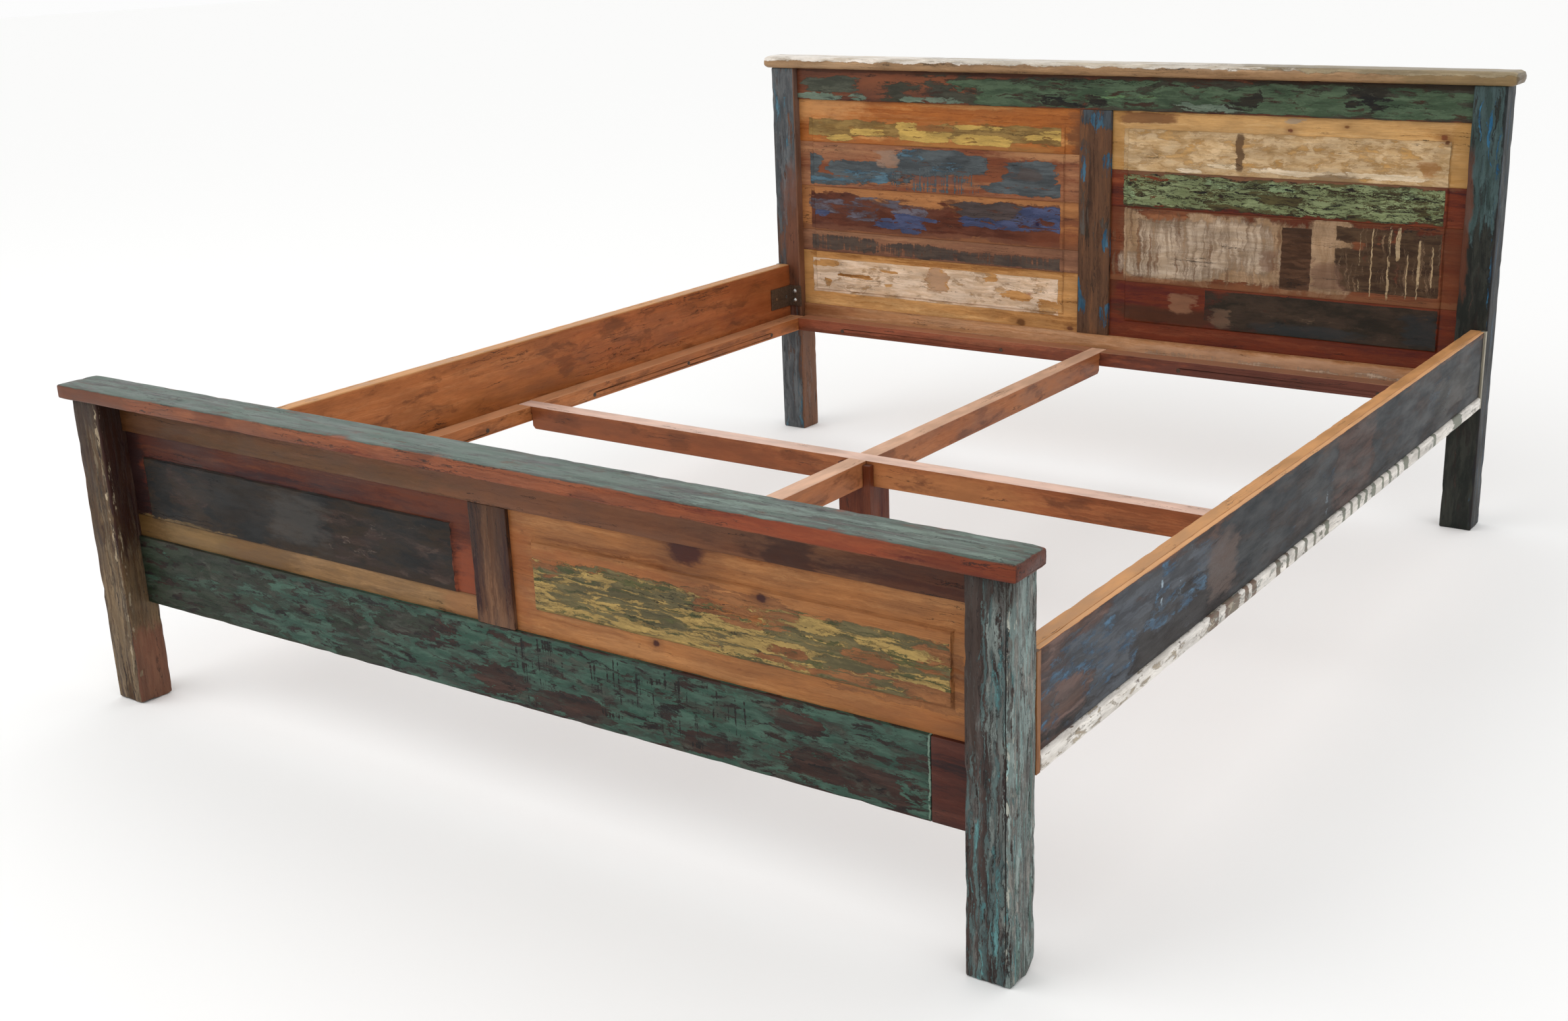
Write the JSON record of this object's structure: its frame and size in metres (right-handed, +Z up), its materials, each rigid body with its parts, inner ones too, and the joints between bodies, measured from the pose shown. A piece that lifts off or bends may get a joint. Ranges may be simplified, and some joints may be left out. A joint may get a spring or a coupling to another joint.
{
  "type": "wooden bed frame",
  "caption": "Reclaimed-wood double bed frame with panelled headboard and footboard, side rails, slat ledgers and a lift-out centre support.",
  "frame": {"origin": "on the floor under the middle of the bounding box", "axes": "+Z up, +Y from the foot end to the head end, +X to the right of somebody who stands at the foot and looks at the head"},
  "size_m": [1.92, 2.228, 1.002],
  "materials": {
    "foot_post_left": "worn paint on reclaimed wood",
    "foot_post_right": "worn paint on reclaimed wood",
    "head_post_left": "worn paint on reclaimed wood",
    "head_post_right": "worn paint on reclaimed wood",
    "foot_cap": "worn paint on reclaimed wood",
    "head_cap": "worn paint on reclaimed wood",
    "foot_top_rail": "worn paint on reclaimed wood",
    "foot_bottom_rail": "worn paint on reclaimed wood",
    "foot_bottom_rail_end_block": "worn paint on reclaimed wood",
    "foot_centre_stile": "worn paint on reclaimed wood",
    "foot_left_panel_upper_plank": "worn paint on reclaimed wood",
    "foot_left_panel_lower_plank": "worn paint on reclaimed wood",
    "foot_right_panel_plank": "worn paint on reclaimed wood",
    "head_top_rail": "worn paint on reclaimed wood",
    "head_bottom_rail": "worn paint on reclaimed wood",
    "head_centre_stile": "worn paint on reclaimed wood",
    "head_left_panel_plank_1": "worn paint on reclaimed wood",
    "head_left_panel_plank_2": "worn paint on reclaimed wood",
    "head_left_panel_plank_3": "worn paint on reclaimed wood",
    "head_left_panel_plank_4": "worn paint on reclaimed wood",
    "head_left_panel_plank_5": "worn paint on reclaimed wood",
    "head_right_panel_plank_1": "worn paint on reclaimed wood",
    "head_right_panel_plank_2": "worn paint on reclaimed wood",
    "head_right_panel_plank_3": "worn paint on reclaimed wood",
    "head_right_panel_plank_4": "worn paint on reclaimed wood",
    "side_rail_left": "worn paint on reclaimed wood",
    "side_rail_right": "worn paint on reclaimed wood",
    "side_rail_left_face_board": "worn paint on reclaimed wood",
    "side_rail_right_face_board": "worn paint on reclaimed wood",
    "side_rail_left_end_strips": "worn paint on reclaimed wood",
    "side_rail_right_end_strips": "worn paint on reclaimed wood",
    "side_rail_left_moulding": "worn paint on reclaimed wood",
    "side_rail_right_moulding": "worn paint on reclaimed wood",
    "ledger_left": "oiled wood",
    "ledger_right": "oiled wood",
    "ledger_head": "worn paint on reclaimed wood",
    "ledger_foot": "oiled wood",
    "cap_dowels": "oiled wood",
    "long_beam": "oiled wood",
    "cross_beam": "oiled wood",
    "centre_leg": "worn paint on reclaimed wood",
    "bracket_paint": "dark brown paint",
    "bright_steel": "zinc plated"
  },
  "bodies": {
    "bed_frame": {"foot_post_left": "foot_post_left", "foot_post_right": "foot_post_right", "head_post_left": "head_post_left", "head_post_right": "head_post_right", "foot_cap": "foot_cap", "head_cap": "head_cap", "foot_top_rail": "foot_top_rail", "foot_bottom_rail": "foot_bottom_rail", "foot_bottom_rail_end_block": "foot_bottom_rail_end_block", "foot_centre_stile": "foot_centre_stile", "foot_left_panel_upper_plank": "foot_left_panel_upper_plank", "foot_left_panel_lower_plank": "foot_left_panel_lower_plank", "foot_right_panel_plank": "foot_right_panel_plank", "head_top_rail": "head_top_rail", "head_bottom_rail": "head_bottom_rail", "head_centre_stile": "head_centre_stile", "head_left_panel_plank_1": "head_left_panel_plank_1", "head_left_panel_plank_2": "head_left_panel_plank_2", "head_left_panel_plank_3": "head_left_panel_plank_3", "head_left_panel_plank_4": "head_left_panel_plank_4", "head_left_panel_plank_5": "head_left_panel_plank_5", "head_right_panel_plank_1": "head_right_panel_plank_1", "head_right_panel_plank_2": "head_right_panel_plank_2", "head_right_panel_plank_3": "head_right_panel_plank_3", "head_right_panel_plank_4": "head_right_panel_plank_4", "side_rail_left": "side_rail_left", "side_rail_right": "side_rail_right", "side_rail_left_face_board": "side_rail_left_face_board", "side_rail_right_face_board": "side_rail_right_face_board", "side_rail_left_end_strips": "side_rail_left_end_strips", "side_rail_right_end_strips": "side_rail_right_end_strips", "side_rail_left_moulding": "side_rail_left_moulding", "side_rail_right_moulding": "side_rail_right_moulding", "ledger_left": "ledger_left", "ledger_right": "ledger_right", "ledger_head": "ledger_head", "ledger_foot": "ledger_foot", "cap_dowels": "cap_dowels", "corner_bracket_foot_left": "bracket_paint", "corner_bracket_foot_right": "bracket_paint", "corner_bracket_head_left": "bracket_paint", "corner_bracket_head_right": "bracket_paint", "bracket_bolts": "bright_steel", "bracket_screws": "bright_steel", "ledger_screws": "bright_steel"},
    "centre_support": {"long_beam": "long_beam", "centre_leg": "centre_leg"},
    "cross_beam_body": {"cross_beam": "cross_beam"}
  },
  "joints": [
    {"name": "centre_support_lift", "type": "slide", "parent": "bed_frame", "child": "centre_support", "axis": [0, 0, 1], "range_m": [0, 0.2]},
    {"name": "cross_beam_lift", "type": "slide", "parent": "centre_support", "child": "cross_beam_body", "axis": [0, 0, 1], "range_m": [0, 0.2]}
  ]
}
